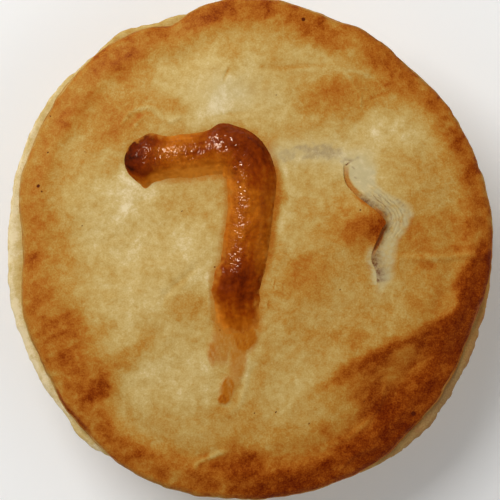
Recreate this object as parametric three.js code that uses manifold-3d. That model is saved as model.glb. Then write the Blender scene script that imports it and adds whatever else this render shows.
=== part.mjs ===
// A round single-serve savoury pie in three pieces: a tapered pastry base that is solid with its filling,
// a browned pastry lid with a torn steam vent, and a hooked mark piped on the lid. Millimetres, +Z up, with
// the origin under the middle of the foot and +Y towards the bar of the mark.
import * as THREE from "three";
import { mergeVertices } from "three/addons/utils/BufferGeometryUtils.js";
import Module from "manifold-3d";

const wasm = await Module();
wasm.setup();

// Driving dimensions.
const footRadius = 46; // flat underside of the base, to the tangent of its wall
const footRound = 4; // round between the underside and the wall
const rimRadius = 59.3; // mean reach of the base's flared rim
const rimHeight = 28; // top of that rim
const rimDepth = 3.4; // height of the flared lip
const rimRound = 1.2; // how far its edge is rounded
const rimOverhang = 3.3; // how far it stands out from the wall
const lidRadius = 59.2; // mean reach of the lid's edge
const lidThickness = 3;
const lidRise = 6.5; // how far the middle of the lid domes over its edge
const lidShoulder = 2.6; // power of the dome: higher is flatter, with a rounder shoulder
const lidEdgeRound = 1.5; // how far the lid's edge is rounded
const seat = 0.3; // clearance between pieces that lie on each other

// Facets.
const roundSteps = 96; // round the pie
const arcSteps = 4; // along each rounded edge
const moundRings = 7;
const lidRings = { under: 7, top: 18 };
const mergeWithin = 1e-3;

// The rim and the lid are cut by hand, so each outline has flats and bulges: where, how wide and how much.
const rimBulges = [
  { degrees: 50, spread: 42, by: -1.7 },
  { degrees: 121, spread: 5, by: 1.3 },
  { degrees: 140, spread: 20, by: 1.2 },
  { degrees: 180, spread: 13, by: -1.2 },
  { degrees: 231, spread: 8, by: 1.6 },
  { degrees: 266, spread: 18, by: -0.8 },
  { degrees: 309, spread: 12, by: 1.5 },
  { degrees: 350, spread: 14, by: -1.0 },
];
const lidBulges = [
  { degrees: 20, spread: 30, by: -1.0 },
  { degrees: 50, spread: 8, by: -1.0 },
  { degrees: 70, spread: 5, by: -0.7 },
  { degrees: 92, spread: 14, by: 0.9 },
  { degrees: 109, spread: 6, by: -2.4 },
  { degrees: 153, spread: 12, by: -1.4 },
  { degrees: 180, spread: 14.5, by: -5.1 },
  { degrees: 208, spread: 15, by: -2.6 },
  { degrees: 229, spread: 4, by: -0.6 },
  { degrees: 250, spread: 20, by: 0.9 },
  { degrees: 312, spread: 8, by: -1.2 },
  { degrees: 337, spread: 18, by: -2.9 },
];

// Long low waves of the lid, where the pastry has risen unevenly. They die out at its edge.
const waveFade = 4;
const lidWaves = [
  { height: 0.38, alongX: 0.115, alongY: 0.052, phase: 0.6 },
  { height: 0.3, alongX: -0.062, alongY: 0.128, phase: 2.1 },
  { height: 0.16, alongX: 0.19, alongY: -0.17, phase: 4.0 },
];

// One side of the lid slumps beyond a fold that runs in from the edge.
const fold = { x: 22.6, y: -27.6, towards: 26.7, drop: 1.5, spread: 9, fade: 10 };

// The steam vent: the lid tore along a crooked lip, which curls up. A pale floor slopes up from under it.
const tearLip = [
  [22.2, 20.8],
  [22.4, 16.6],
  [24.6, 13.4],
  [31.7, 7.4],
  [30.8, 4.2],
  [28.6, -1.6],
  [29.7, -5],
  [30, -8.2],
];
const tearFarSide = [
  [23.6, 21.4],
  [28.9, 17.3],
  [34.5, 12.1],
  [36.9, 8.8],
  [36.2, 5.6],
  [35.2, 1.2],
  [33.9, -3],
  [33.2, -7],
  [31.8, -9.6],
];
const tearDepth = 1.6; // under the middle of the lip
const tearFade = 0.5; // power of its fading towards the tear's two ends
const tearSteps = 24;
const floorSteps = 4;
const lipCurl = { x: 27.6, y: 6.6, height: 1.2, spread: 5.5 };

// The piped mark: the middle of a bar that turns into a tail, and where along its length each side swells.
const markPath = [
  [-29.7, 20.7],
  [-22, 21.2],
  [-14, 22.2],
  [-7.7, 22.9],
  [-4.8, 22.7],
  [-2.3, 21.2],
  [-0.7, 18.8],
  [-0.2, 15.9],
  [0, 8],
  [-1.4, -2.4],
  [-3.1, -10],
  [-2.9, -16.5],
  [-1.3, -23.2],
];
const markHalfWidth = 5.3;
const markHeight = 2.7;
const markCrown = 1.5; // power of its section: higher has thinner skirts
const markOuterSwells = [
  { share: 0.09, spread: 0.035, by: 1.3 },
  { share: 0.312, spread: 0.025, by: 1.0 },
  { share: 0.37, spread: 0.06, by: 1.5 },
  { share: 0.47, spread: 0.06, by: 1.0 },
  { share: 0.83, spread: 0.03, by: 0.4 },
];
const markInnerSwells = [
  { share: 0.064, spread: 0.018, by: 1.3 },
  { share: 0.13, spread: 0.04, by: -0.4 },
  { share: 0.37, spread: 0.05, by: 0.5 },
  { share: 0.64, spread: 0.06, by: 0.35 },
  { share: 0.772, spread: 0.022, by: 0.8 },
  { share: 0.815, spread: 0.025, by: 0.7 },
  { share: 0.985, spread: 0.045, by: -4 },
];
const markEnds = { head: 0.065, tail: 0.09 }; // share of the length over which each end rounds off
const markThinning = { from: 0.74, to: 1.02 }; // shares between which it runs out towards its tail
const markSteps = 52;
const markSides = 20;

const bell = (offset, spread) => Math.exp(-((offset / spread) ** 2));
const smooth = THREE.MathUtils.smoothstep;
const lerp = THREE.MathUtils.lerp;
const shares = (steps) => Array.from({ length: steps + 1 }, (_, i) => i / steps);

// Outlines of the rim and the lid, as a radius for each direction.
function outline(mean, bulges, turn) {
  const degrees = THREE.MathUtils.radToDeg(turn);
  return bulges.reduce((radius, bulge) => {
    const offset = THREE.MathUtils.euclideanModulo(degrees - bulge.degrees + 180, 360) - 180;
    return radius + bulge.by * bell(offset, bulge.spread);
  }, mean);
}
const rimReach = (turn) => outline(rimRadius, rimBulges, turn);
const lidReach = (turn) => outline(lidRadius, lidBulges, turn);

// Heights of the filled base under the lid, of the lid's underside and of its top.
function moundHeight(x, y) {
  const share = Math.min(1, Math.hypot(x, y) / lidReach(Math.atan2(y, x)));
  const waves = lidWaves.reduce(
    (sum, wave) => sum + wave.height * Math.sin(wave.alongX * x + wave.alongY * y + wave.phase),
    0,
  );
  return rimHeight + lidRise * (1 - share ** lidShoulder) + waves * (1 - share ** waveFade);
}
const lidUnderside = (x, y) => moundHeight(x, y) + seat;

function slump(x, y) {
  const heading = THREE.MathUtils.degToRad(fold.towards);
  const along = (x - fold.x) * Math.cos(heading) + (y - fold.y) * Math.sin(heading);
  const beyond = (x - fold.x) * Math.sin(heading) - (y - fold.y) * Math.cos(heading);
  return -fold.drop * smooth(beyond, 0, fold.spread) * smooth(along, -fold.fade, fold.fade);
}
function lidTop(x, y) {
  const curl = lipCurl.height * bell(Math.hypot(x - lipCurl.x, y - lipCurl.y), lipCurl.spread);
  return lidUnderside(x, y) + lidThickness + slump(x, y) + curl;
}

// Only positions are kept, with shared vertices merged, so that each piece is one closed body.
function closed(geometry) {
  const bare = geometry.clone();
  for (const name of Object.keys(bare.attributes)) if (name !== "position") bare.deleteAttribute(name);
  return mergeVertices(bare, mergeWithin);
}
function solidOf(geometry) {
  const { attributes, index } = closed(geometry);
  const vertProperties = attributes.position.array;
  const triVerts = new Uint32Array(index.array);
  return new wasm.Manifold(new wasm.Mesh({ numProp: 3, vertProperties, triVerts }));
}
function smoothPath(points) {
  return new THREE.CatmullRomCurve3(points.map(([x, y]) => new THREE.Vector3(x, y, 0)), false, "centripetal");
}
function geometryOf(solid) {
  const { vertProperties, triVerts } = solid.getMesh();
  return new THREE.BufferGeometry()
    .setAttribute("position", new THREE.BufferAttribute(vertProperties, 3))
    .setIndex(new THREE.BufferAttribute(triVerts, 1));
}

// A profile spun round the pie's axis, each of its points then set where place(turn, point) says.
function spun(profile, place) {
  const strip = profile.map((point, i) => new THREE.Vector2(point.across, i));
  const geometry = new THREE.LatheGeometry(strip, roundSteps);
  const position = geometry.getAttribute("position");
  for (let i = 0; i < position.count; i++) {
    const turn = (2 * Math.PI * (Math.floor(i / profile.length) % roundSteps)) / roundSteps;
    position.setXYZ(i, ...place(turn, profile[i % profile.length]));
  }
  return closed(geometry);
}

// The base: a flat foot, a tapered wall and a flared rim, filled up to the mound that the lid lies on.
function pastryBase() {
  const wallTop = rimHeight - rimDepth;
  const wallReach = rimRadius - rimOverhang;
  const wallLean = Math.atan2(wallReach - footRadius, wallTop - footRound);
  const arc = (from, to) => shares(arcSteps).map((share) => lerp(from, to, share));
  const corner = arc(0, Math.PI / 2 - wallLean).map((turn) => ({
    across: footRadius - footRound * (1 - Math.sin(turn)),
    z: footRound * (1 - Math.cos(turn)),
  }));
  const wall = [
    { across: (footRadius + wallReach) / 2, z: (footRound + wallTop) / 2 },
    { across: wallReach, z: wallTop },
  ];
  const rim = arc(-Math.PI / 3, Math.PI / 2).map((turn) => ({
    across: rimRadius - rimRound * (1 - Math.cos(turn)),
    z: rimHeight - (rimDepth / 2) * (1 - Math.sin(turn)),
  }));
  const mound = shares(moundRings).map((share) => ({ across: wallReach * (1 - share) }));
  const profile = [{ across: 0, z: 0 }, ...corner, ...wall, ...rim, ...mound];
  return spun(profile, (turn, { across, z }) => {
    const lift = z === undefined ? 1 : (z / rimHeight) ** 2;
    const reach = across * lerp(1, rimReach(turn) / rimRadius, lift);
    const x = reach * Math.cos(turn);
    const y = reach * Math.sin(turn);
    return [x, y, z ?? moundHeight(x, y)];
  });
}

// The solid cut from the lid along the tear: deep under the lip, running out to nothing at the far side.
function tearCut() {
  const lip = smoothPath(tearLip);
  const farSide = smoothPath(tearFarSide);
  const geometry = new THREE.BoxGeometry(1, 1, 1, tearSteps, floorSteps, 1);
  const position = geometry.getAttribute("position");
  for (let i = 0; i < position.count; i++) {
    const along = position.getX(i) + 0.5;
    const across = position.getY(i) + 0.5;
    const { x, y } = lip.getPointAt(along).lerp(farSide.getPointAt(along), across);
    const depth = tearDepth * Math.sin(Math.PI * along) ** tearFade * (1 - across);
    const floor = lidTop(x, y) - depth + seat / 2;
    position.setXYZ(i, x, y, position.getZ(i) > 0 ? floor + 2 * lidThickness : floor);
  }
  return geometry;
}

// The lid: a sheet of pastry of even thickness that follows the mound, torn at its steam vent.
function pastryLid() {
  const flat = 1 - lidEdgeRound / lidRadius;
  const edge = shares(2 * arcSteps).map((share) => {
    const turn = Math.PI * (share - 0.5);
    return { across: lerp(flat, 1, Math.cos(turn)), up: (1 + Math.sin(turn)) / 2 };
  });
  const under = shares(lidRings.under).slice(0, -1).map((share) => ({ across: flat * share, up: 0 }));
  const top = shares(lidRings.top).slice(1).map((share) => ({ across: flat * (1 - share), up: 1 }));
  const sheet = spun([...under, ...edge, ...top], (turn, { across, up }) => {
    const reach = across * lidReach(turn);
    const x = reach * Math.cos(turn);
    const y = reach * Math.sin(turn);
    return [x, y, lerp(lidUnderside(x, y), lidTop(x, y), up)];
  });
  return geometryOf(solidOf(sheet).subtract(solidOf(tearCut())));
}

// How far the mark reaches to one side of its middle, at a share of its length.
function markReach(swells, share) {
  const swollen = swells.reduce(
    (sum, swell) => sum + swell.by * bell(share - swell.share, swell.spread),
    markHalfWidth,
  );
  const rounding = (length, fromEnd) => Math.sqrt(1 - (1 - Math.min(1, fromEnd / length)) ** 2);
  return swollen * rounding(markEnds.head, share) * rounding(markEnds.tail, 1 - share);
}

// The piped mark: a ball stretched along the mark's path, flat where it lies on the lid.
function pipedMark() {
  const path = smoothPath(markPath);
  const geometry = new THREE.SphereGeometry(1, markSides, markSteps);
  const position = geometry.getAttribute("position");
  for (let i = 0; i < position.count; i++) {
    const step = Math.floor(i / (markSides + 1)) / markSteps;
    const share = (1 - Math.cos(Math.PI * step)) / 2;
    const round = (-2 * Math.PI * ((i % (markSides + 1)) % markSides)) / markSides;
    const centre = path.getPointAt(share);
    const along = path.getTangentAt(share);
    const outer = markReach(markOuterSwells, share);
    const inner = markReach(markInnerSwells, share);
    const aside = Math.cos(round) * (Math.cos(round) > 0 ? outer : inner);
    const x = centre.x - along.y * aside;
    const y = centre.y + along.x * aside;
    const fullness = (outer + inner) / (2 * markHalfWidth);
    const thinning = 1 - smooth(share, markThinning.from, markThinning.to);
    const rise = markHeight * fullness * thinning * Math.max(0, Math.sin(round)) ** markCrown;
    position.setXYZ(i, x, y, lidTop(x, y) + seat + rise);
  }
  return closed(geometry);
}

function piece(name, geometry, material) {
  const mesh = new THREE.Mesh(geometry, new THREE.MeshStandardMaterial(material));
  mesh.name = name;
  return mesh;
}

const pie = new THREE.Group();
pie.add(piece("pastry_base", pastryBase(), { color: 0xcbb386, roughness: 0.8, metalness: 0 }));
pie.add(piece("pastry_lid", pastryLid(), { color: 0xb58a46, roughness: 0.55, metalness: 0 }));
pie.add(piece("piped_mark", pipedMark(), { color: 0x7a3208, roughness: 0.3, metalness: 0 }));

export default pie;
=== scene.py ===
# Steak and cheese pie: its looks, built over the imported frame. Lengths in the dictionaries are millimetres.
import math
from types import SimpleNamespace

import bmesh
import bpy
import numpy as np
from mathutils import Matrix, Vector, noise


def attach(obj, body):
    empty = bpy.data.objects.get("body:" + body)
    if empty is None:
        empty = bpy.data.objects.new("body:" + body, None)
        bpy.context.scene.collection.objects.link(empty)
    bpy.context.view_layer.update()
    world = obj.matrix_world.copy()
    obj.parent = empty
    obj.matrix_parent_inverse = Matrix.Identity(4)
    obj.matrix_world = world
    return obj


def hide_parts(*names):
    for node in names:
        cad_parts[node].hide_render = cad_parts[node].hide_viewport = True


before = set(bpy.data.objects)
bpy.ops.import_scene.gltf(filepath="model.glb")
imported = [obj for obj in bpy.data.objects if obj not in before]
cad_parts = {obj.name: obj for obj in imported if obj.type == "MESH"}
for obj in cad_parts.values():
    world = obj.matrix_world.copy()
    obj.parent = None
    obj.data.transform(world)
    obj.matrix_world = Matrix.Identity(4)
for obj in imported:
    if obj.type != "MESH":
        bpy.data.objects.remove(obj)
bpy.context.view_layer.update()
mm = 0.001

# Shape that the base, the lid and the mark share: the outlines and the dome.
pie = {
    "footRadius": 46,
    "footRound": 4,
    "rimRadius": 59.3,  # mean reach of the base's rim
    "rimHeight": 28,
    "rimDepth": 3.4,
    "rimRound": 1.2,
    "rimOverhang": 3.3,
    "lidRadius": 59.2,  # mean reach of the lid
    "lidThickness": 3,
    "lidRise": 6.5,
    "lidShoulder": 2.6,  # power of the dome
    "seat": 0.3,
    "waveFade": 4,
    # flats and bulges of the hand-cut outlines: degrees, spread, by
    "rimBulges": [
        (50, 42, -1.7), (121, 5, 1.3), (140, 20, 1.2), (180, 13, -1.2),
        (231, 8, 1.6), (266, 18, -0.8), (309, 12, 1.5), (350, 14, -1.0),
    ],
    "lidBulges": [
        (20, 30, -1.0), (50, 8, -1.0), (70, 5, -0.7), (92, 14, 0.9), (109, 6, -2.4), (153, 12, -1.4),
        (180, 14.5, -5.1), (208, 15, -2.6), (229, 4, -0.6), (250, 20, 0.9), (312, 8, -1.2), (337, 18, -2.9),
    ],
    # low waves of the risen pastry: height, along x, along y, phase
    "waves": [(0.38, 0.115, 0.052, 0.6), (0.3, -0.062, 0.128, 2.1), (0.16, 0.19, -0.17, 4.0)],
    # the slumped side beyond the fold
    "fold": {"x": 22.6, "y": -27.6, "towards": 26.7, "drop": 1.5, "spread": 9, "fade": 10},
    "lipCurl": {"x": 27.6, "y": 6.6, "height": 1.2, "spread": 5.5},
}


def bell(offset, spread):
    return np.exp(-((offset / spread) ** 2))


def facing(degrees, centre, spread):
    # 1 in one direction, falling to nothing on both sides of it
    return bell((degrees - centre + 180) % 360 - 180, spread)


def smoothStep(value, low, high):
    share = np.clip((value - low) / (high - low), 0, 1)
    return share * share * (3 - 2 * share)


def partWay(a, b, share):
    return (1 - share) * a + share * b


def within(value, start, end):
    # 1 along a stretch that sets in over one range and dies away over another
    return smoothStep(value, *start) * smoothStep(value, *end)


def uneven(x, y, z, layer):
    # soft noise about 0; a layer is its strength, size of features, octaves and place in the noise
    by, size, octaves, place = layer
    spots = np.stack([x, y, z], axis=1) / size + place
    return by * np.array([noise.fractal(spot, 1.0, 2.0, octaves) for spot in spots])


def patchy(x, y, mean, layer):
    # a share that comes and goes between 0 and 1
    return np.clip(mean + uneven(x, y, 0 * x, layer), 0, 1)


def blisters(x, y, size):
    # domes of about that size side by side, 1 at their middles
    spots = np.stack([x, y, 0 * x], axis=1) / size
    return 1 - np.array([noise.voronoi(spot)[0][0] for spot in spots]) ** 2


def ellipse(x, y, middleX, middleY, halfWidth, halfHeight, turn):
    # 1 in the middle of a soft oval, falling to nothing outside it
    a = math.radians(turn)
    along = ((x - middleX) * math.cos(a) + (y - middleY) * math.sin(a)) / halfWidth
    aside = ((y - middleY) * math.cos(a) - (x - middleX) * math.sin(a)) / halfHeight
    return np.exp(-((along**2 + aside**2) ** 1.5))


def strongestOval(x, y, ovals, low, high):
    # ovals with firm edges, the strongest where they lie over each other
    strongest = np.zeros_like(x)
    for *oval, strength in ovals:
        strongest = np.maximum(strongest, strength * smoothStep(ellipse(x, y, *oval), low, high))
    return strongest


def reach(mean, bulges, turn):
    degrees = np.degrees(turn)
    return mean + sum(by * facing(degrees, centre, spread) for centre, spread, by in bulges)


def moundHeight(x, y):
    share = np.minimum(1, np.hypot(x, y) / reach(pie["lidRadius"], pie["lidBulges"], np.arctan2(y, x)))
    waves = sum(height * np.sin(ax * x + ay * y + phase) for height, ax, ay, phase in pie["waves"])
    dome = pie["lidRise"] * (1 - share ** pie["lidShoulder"])
    return pie["rimHeight"] + dome + waves * (1 - share ** pie["waveFade"])


def foldPlace(x, y):
    # how far along the fold and how far beyond it, on the slumped side
    fold = pie["fold"]
    heading = math.radians(fold["towards"])
    along = (x - fold["x"]) * math.cos(heading) + (y - fold["y"]) * math.sin(heading)
    beyond = (x - fold["x"]) * math.sin(heading) - (y - fold["y"]) * math.cos(heading)
    return along, beyond


def lidTop(x, y):
    fold = pie["fold"]
    curl = pie["lipCurl"]
    along, beyond = foldPlace(x, y)
    slump = fold["drop"] * smoothStep(beyond, 0, fold["spread"])
    slump = slump * smoothStep(along, -fold["fade"], fold["fade"])
    lip = curl["height"] * bell(np.hypot(x - curl["x"], y - curl["y"]), curl["spread"])
    return moundHeight(x, y) + pie["seat"] + pie["lidThickness"] - slump + lip


def smoothPath(points, steps=8):
    # a curve through a few points, carried on straight at both ends
    first = 2 * np.array(points[0]) - points[1]
    last = 2 * np.array(points[-1]) - points[-2]
    p = np.array([first, *points, last], float)
    t = np.linspace(0, 1, steps, endpoint=False)[:, None]
    spans = []
    for a, b, c, d in zip(p, p[1:], p[2:], p[3:]):
        spans.append(b + 0.5 * t * (c - a + t * (2 * a - 5 * b + 4 * c - d + t * (3 * (b - c) + d - a))))
    return np.vstack([*spans, p[-2:-1]])


def alongPath(x, y, path):
    # distance to a path, how far along it (0 to 1), and 1 on its left or -1 on its right
    best = np.full(x.shape, np.inf)
    share = np.zeros(x.shape)
    side = np.ones(x.shape)
    lengths = np.hypot(*np.diff(path, axis=0).T)
    starts = np.concatenate([[0], np.cumsum(lengths)])
    for (ax, ay), (bx, by), start, length in zip(path, path[1:], starts, lengths):
        dx, dy = bx - ax, by - ay
        t = np.clip(((x - ax) * dx + (y - ay) * dy) / length**2, 0, 1)
        distance = np.hypot(x - ax - t * dx, y - ay - t * dy)
        nearer = distance < best
        best[nearer] = distance[nearer]
        share[nearer] = ((start + t * length) / starts[-1])[nearer]
        side[nearer] = np.sign(dx * (y - ay) - dy * (x - ax))[nearer]
    return best, share, side


def readPoints(mesh):
    points = np.empty(len(mesh.vertices) * 3)
    mesh.vertices.foreach_get("co", points)
    return points.reshape(-1, 3)


def writePoints(mesh, x, y, z):
    mesh.vertices.foreach_set("co", (np.stack([x, y, z], axis=1) * mm).ravel())
    bm = bmesh.new()
    bm.from_mesh(mesh)
    bmesh.ops.recalc_face_normals(bm, faces=bm.faces)  # the final shape faces outwards
    bm.to_mesh(mesh)
    bm.free()


def writeValues(mesh, name, values):
    attribute = mesh.attributes.new(name, "FLOAT", "POINT")
    attribute.data.foreach_set("value", np.ascontiguousarray(values, dtype=np.float32))


def meshFrom(name, bm):
    mesh = bpy.data.meshes.new(name)
    bm.to_mesh(mesh)
    bm.free()
    mesh.shade_smooth()
    return mesh


def addPiece(mesh, material, node):
    piece = bpy.data.objects.new(mesh.name, mesh)
    bpy.context.collection.objects.link(piece)
    mesh.materials.append(material)
    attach(piece, "root")
    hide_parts(node)
    print("made", mesh.name, len(mesh.polygons), "faces")


def shade(*screen):
    # a colour given as it looks on screen, 0 to 255
    parts = [part / 255 for part in screen]
    linear = [part / 12.92 if part <= 0.04045 else ((part + 0.055) / 1.055) ** 2.4 for part in parts]
    return (*linear, 1.0)


def addNode(tree, kind, inputs=None, **settings):
    node = tree.nodes.new("ShaderNode" + kind)
    for name, value in settings.items():
        setattr(node, name, value)
    for name, value in (inputs or {}).items():
        if isinstance(value, bpy.types.NodeSocket):
            tree.links.new(value, node.inputs[name])
        else:
            node.inputs[name].default_value = value
    return node


def calc(tree, operation, a, b=0.0, clamp=False):
    return addNode(tree, "Math", {0: a, 1: b}, operation=operation, use_clamp=clamp).outputs[0]


def swing(tree, pattern, by):
    # a pattern of 0 to 1, brought to both sides of 0
    return calc(tree, "MULTIPLY", calc(tree, "SUBTRACT", pattern, 0.5), by)


def grainNode(tree, settings):
    place = addNode(tree, "TexCoord").outputs["Object"]
    return addNode(tree, "TexNoise", {"Vector": place, **settings}).outputs["Fac"]


def blendColours(tree, share, a, b):
    return addNode(tree, "Mix", {0: share, 6: a, 7: b}, data_type="RGBA").outputs[2]  # its colour sockets


def ramp(tree, value, stops):
    node = addNode(tree, "ValToRGB", {"Fac": value})
    elements = node.color_ramp.elements
    while len(elements) < len(stops):
        elements.new(0.5)
    for element, (place, colour) in zip(elements, stops):
        element.position = place
        element.color = colour
    return node.outputs["Color"]


def newGroup(name, inputs, outputs):
    tree = bpy.data.node_groups.new(name, "ShaderNodeTree")
    for label, kind in inputs:
        tree.interface.new_socket(label, in_out="INPUT", socket_type="NodeSocket" + kind)
    for label, kind in outputs:
        tree.interface.new_socket(label, in_out="OUTPUT", socket_type="NodeSocket" + kind)
    return tree, tree.nodes.new("NodeGroupInput"), tree.nodes.new("NodeGroupOutput")


def newMaterial(name):
    material = bpy.data.materials.new(name)
    material.use_nodes = True
    tree = material.node_tree
    return material, tree, tree.nodes["Principled BSDF"]


def stored(tree, name):
    return addNode(tree, "Attribute", attribute_name=name).outputs["Fac"]


# How pastry colours in the oven, from raw cream to burnt, and how uneven it is.
oven = {
    "stops": [
        (0.0, shade(224, 204, 160)),
        (0.18, shade(200, 173, 112)),
        (0.34, shade(186, 152, 84)),
        (0.5, shade(176, 125, 50)),
        (0.65, shade(167, 96, 25)),
        (0.8, shade(141, 64, 8)),
        (0.91, shade(114, 41, 2)),
        (1.0, shade(94, 25, 0)),
    ],
    "flour": shade(187, 170, 125),
    "stain": shade(98, 38, 6),
    "burnt": shade(84, 28, 6),
    "clouds": {"Scale": 170, "Detail": 5, "Roughness": 0.6, "Distortion": 0.5},
    "mottle": {"Scale": 620, "Detail": 4, "Roughness": 0.65, "Distortion": 0.3},
    "grain": {"Scale": 2600, "Detail": 2},
    "crinkle": {"Scale": 210, "Detail": 4, "Roughness": 0.6, "Distortion": 0.7},
    "cloudsBy": 0.48,
    "mottleBy": 0.38,
    "grainBy": (0.24, 0.16),  # on raw pastry, and what browning adds
    "veinBy": 0.06,
    "veinWidth": 0.035,
    "calm": (1.28, 0.5),  # unevenness of raw pastry, and what browning takes from it
    "rough": (0.66, 0.16, 0.2),  # of raw pastry, what browning takes and what flour adds
    "relief": (0.7, 0.3),  # shares of the mottle and the grain
    "reliefDepth": 0.25,
    "speckEdge": (0.4, 0.6),
    "specular": 0.04,
}


def makeOvenGroup():
    tree, given, made = newGroup(
        "ovenBrowning",
        [("Browning", "Float"), ("Flour", "Float"), ("Stain", "Float"), ("Unevenness", "Float")],
        [("Colour", "Color"), ("Roughness", "Float"), ("Height", "Float")],
    )
    browning = given.outputs["Browning"]
    patterns = ("clouds", "mottle", "grain", "crinkle")
    clouds, mottle, grain, crinkle = [grainNode(tree, oven[name]) for name in patterns]
    blotch = calc(tree, "ADD", swing(tree, clouds, oven["cloudsBy"]), swing(tree, mottle, oven["mottleBy"]))
    # thin lighter veins where the browned skin crinkled
    offLine = calc(tree, "ABSOLUTE", calc(tree, "SUBTRACT", crinkle, 0.5))
    vein = calc(tree, "SUBTRACT", 1, calc(tree, "DIVIDE", offLine, oven["veinWidth"]), clamp=True)
    vein = calc(tree, "MULTIPLY", vein, browning)
    blotch = calc(tree, "SUBTRACT", blotch, calc(tree, "MULTIPLY", vein, oven["veinBy"]))
    lively, calmer = oven["calm"]
    calm = calc(tree, "SUBTRACT", lively, calc(tree, "MULTIPLY", browning, calmer))
    blotch = calc(tree, "MULTIPLY", blotch, calm)
    fine, coarser = oven["grainBy"]
    coarse = calc(tree, "ADD", fine, calc(tree, "MULTIPLY", browning, coarser))
    blotch = calc(tree, "ADD", blotch, swing(tree, grain, coarse))
    blotch = calc(tree, "MULTIPLY", blotch, given.outputs["Unevenness"])
    browned = calc(tree, "ADD", browning, blotch, clamp=True)
    colour = ramp(tree, browned, oven["stops"])
    dusted = calc(tree, "MULTIPLY", given.outputs["Flour"], calc(tree, "ADD", mottle, 0.5), clamp=True)
    colour = blendColours(tree, dusted, colour, oven["flour"])
    stained = calc(tree, "MULTIPLY", given.outputs["Stain"], calc(tree, "ADD", grain, 0.5), clamp=True)
    colour = blendColours(tree, stained, colour, oven["stain"])
    raw, smoother, dustier = oven["rough"]
    rough = calc(tree, "SUBTRACT", raw, calc(tree, "MULTIPLY", browned, smoother))
    rough = calc(tree, "ADD", rough, calc(tree, "MULTIPLY", dusted, dustier))
    mottled, grained = oven["relief"]
    height = calc(tree, "MULTIPLY", mottle, mottled)
    height = calc(tree, "ADD", height, calc(tree, "MULTIPLY", grain, grained))
    tree.links.new(colour, made.inputs["Colour"])
    tree.links.new(rough, made.inputs["Roughness"])
    tree.links.new(height, made.inputs["Height"])
    return tree


# Pinpricks: tiny dark specks of burnt crumb, far apart.
pinprick = {"scale": 115, "size": 0.035, "share": 0.32, "strength": 0.8}


def makePinprickGroup():
    tree, given, made = newGroup("pinpricks", [("Scale", "Float")], [("Mask", "Float")])
    place = addNode(tree, "TexCoord").outputs["Object"]
    cells = addNode(tree, "TexVoronoi", {"Vector": place, "Scale": given.outputs["Scale"]})
    pick = addNode(tree, "SeparateColor", {"Color": cells.outputs["Color"]})
    size = calc(tree, "MULTIPLY", pick.outputs["Green"], pinprick["size"])
    near = calc(tree, "LESS_THAN", cells.outputs["Distance"], size)
    chosen = calc(tree, "LESS_THAN", pick.outputs["Red"], pinprick["share"])
    tree.links.new(calc(tree, "MULTIPLY", near, chosen), made.inputs["Mask"])
    return tree


ovenGroup = makeOvenGroup()
pinprickGroup = makePinprickGroup()


def makePastryMaterial(name, piece, glazed):
    material, tree, shader = newMaterial(name)
    pricks = addNode(tree, "Group", {"Scale": pinprick["scale"]}, node_tree=pinprickGroup).outputs["Mask"]
    pricks = calc(tree, "MULTIPLY", pricks, pinprick["strength"])
    baked = addNode(tree, "Group", {
        "Browning": stored(tree, "browning"),
        "Flour": stored(tree, "flour"),
        "Stain": calc(tree, "MAXIMUM", stored(tree, "stain"), pricks),
        "Unevenness": piece["unevenness"],
    }, node_tree=ovenGroup)
    low, high = oven["speckEdge"]
    speck = addNode(
        tree, "MapRange", {"Value": stored(tree, "speck"), "From Min": low, "From Max": high},
        interpolation_type="SMOOTHSTEP",
    ).outputs["Result"]
    colour = blendColours(tree, speck, baked.outputs["Colour"], oven["burnt"])
    if glazed:
        glaze = stored(tree, "glaze")
        colour = blendColours(tree, glaze, colour, lid["smearColour"])
        colour = blendColours(tree, calc(tree, "SUBTRACT", glaze, 1, clamp=True), colour, lid["smearEnd"])
    tree.links.new(colour, shader.inputs["Base Color"])
    tree.links.new(baked.outputs["Roughness"], shader.inputs["Roughness"])
    relief = addNode(tree, "Bump", {
        "Height": baked.outputs["Height"],
        "Strength": piece["relief"],
        "Distance": oven["reliefDepth"] * mm,
    })
    tree.links.new(relief.outputs["Normal"], shader.inputs["Normal"])
    shader.inputs["Specular IOR Level"].default_value = oven["specular"]
    return material


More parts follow.
